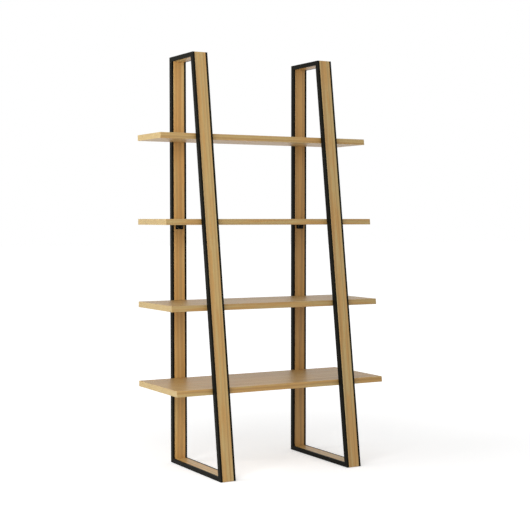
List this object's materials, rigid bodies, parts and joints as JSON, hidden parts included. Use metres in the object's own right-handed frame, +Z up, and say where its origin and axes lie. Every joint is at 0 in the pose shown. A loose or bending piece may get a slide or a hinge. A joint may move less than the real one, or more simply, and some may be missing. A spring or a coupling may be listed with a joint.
{
  "type": "etagere",
  "caption": "Open etagere with oak shelves that taper in depth, held between two trapezoid side frames of oak edged in black steel flat bar.",
  "frame": {"origin": "on the floor, under the middle of the bounding box", "axes": "+X along the shelves to the viewer's right, +Y from the sloping front to the upright back, +Z up"},
  "size_m": [1.018, 0.4929, 1.8],
  "materials": {
    "oak": "light natural oak, straight grain, satin lacquer",
    "black_steel": "black powder coat, fine texture",
    "beech": "plain, unfinished",
    "bright_steel": "bright zinc plated",
    "black_screw": "black oxide, slight sheen",
    "nylon": "black nylon"
  },
  "bodies": {
    "root": {"left_outer_steel_loop": "black_steel", "left_inner_steel_loop": "black_steel", "left_rear_post": "oak", "left_front_post": "oak", "left_top_rail": "oak", "left_bottom_rail": "oak", "left_rear_top_tenon": "beech", "left_rear_bottom_tenon": "beech", "left_rear_cleat": "black_steel", "left_rear_cleat_post_screw_a": "black_screw", "left_rear_cleat_shelf_screw_a": "black_screw", "left_rear_cleat_post_screw_b": "black_screw", "left_rear_cleat_shelf_screw_b": "black_screw", "left_rear_glide": "nylon", "left_front_top_tenon": "beech", "left_front_bottom_tenon": "beech", "left_front_cleat": "black_steel", "left_front_cleat_post_screw_a": "black_screw", "left_front_cleat_shelf_screw_a": "black_screw", "left_front_cleat_post_screw_b": "black_screw", "left_front_cleat_shelf_screw_b": "black_screw", "left_front_glide": "nylon", "right_outer_steel_loop": "black_steel", "right_inner_steel_loop": "black_steel", "right_rear_post": "oak", "right_front_post": "oak", "right_top_rail": "oak", "right_bottom_rail": "oak", "right_rear_top_tenon": "beech", "right_rear_bottom_tenon": "beech", "right_rear_cleat": "black_steel", "right_rear_cleat_post_screw_a": "black_screw", "right_rear_cleat_shelf_screw_a": "black_screw", "right_rear_cleat_post_screw_b": "black_screw", "right_rear_cleat_shelf_screw_b": "black_screw", "right_rear_glide": "nylon", "right_front_top_tenon": "beech", "right_front_bottom_tenon": "beech", "right_front_cleat": "black_steel", "right_front_cleat_post_screw_a": "black_screw", "right_front_cleat_shelf_screw_a": "black_screw", "right_front_cleat_post_screw_b": "black_screw", "right_front_cleat_shelf_screw_b": "black_screw", "right_front_glide": "nylon", "top_shelf": "oak", "top_shelf_left_rear_pin": "bright_steel", "top_shelf_left_front_pin": "bright_steel", "top_shelf_right_rear_pin": "bright_steel", "top_shelf_right_front_pin": "bright_steel", "lower_shelf": "oak", "lower_shelf_left_rear_pin": "bright_steel", "lower_shelf_left_front_pin": "bright_steel", "lower_shelf_right_rear_pin": "bright_steel", "lower_shelf_right_front_pin": "bright_steel", "bottom_shelf": "oak", "bottom_shelf_left_rear_pin": "bright_steel", "bottom_shelf_left_front_pin": "bright_steel", "bottom_shelf_right_rear_pin": "bright_steel", "bottom_shelf_right_front_pin": "bright_steel", "upper_shelf": "oak"}
  },
  "joints": []
}
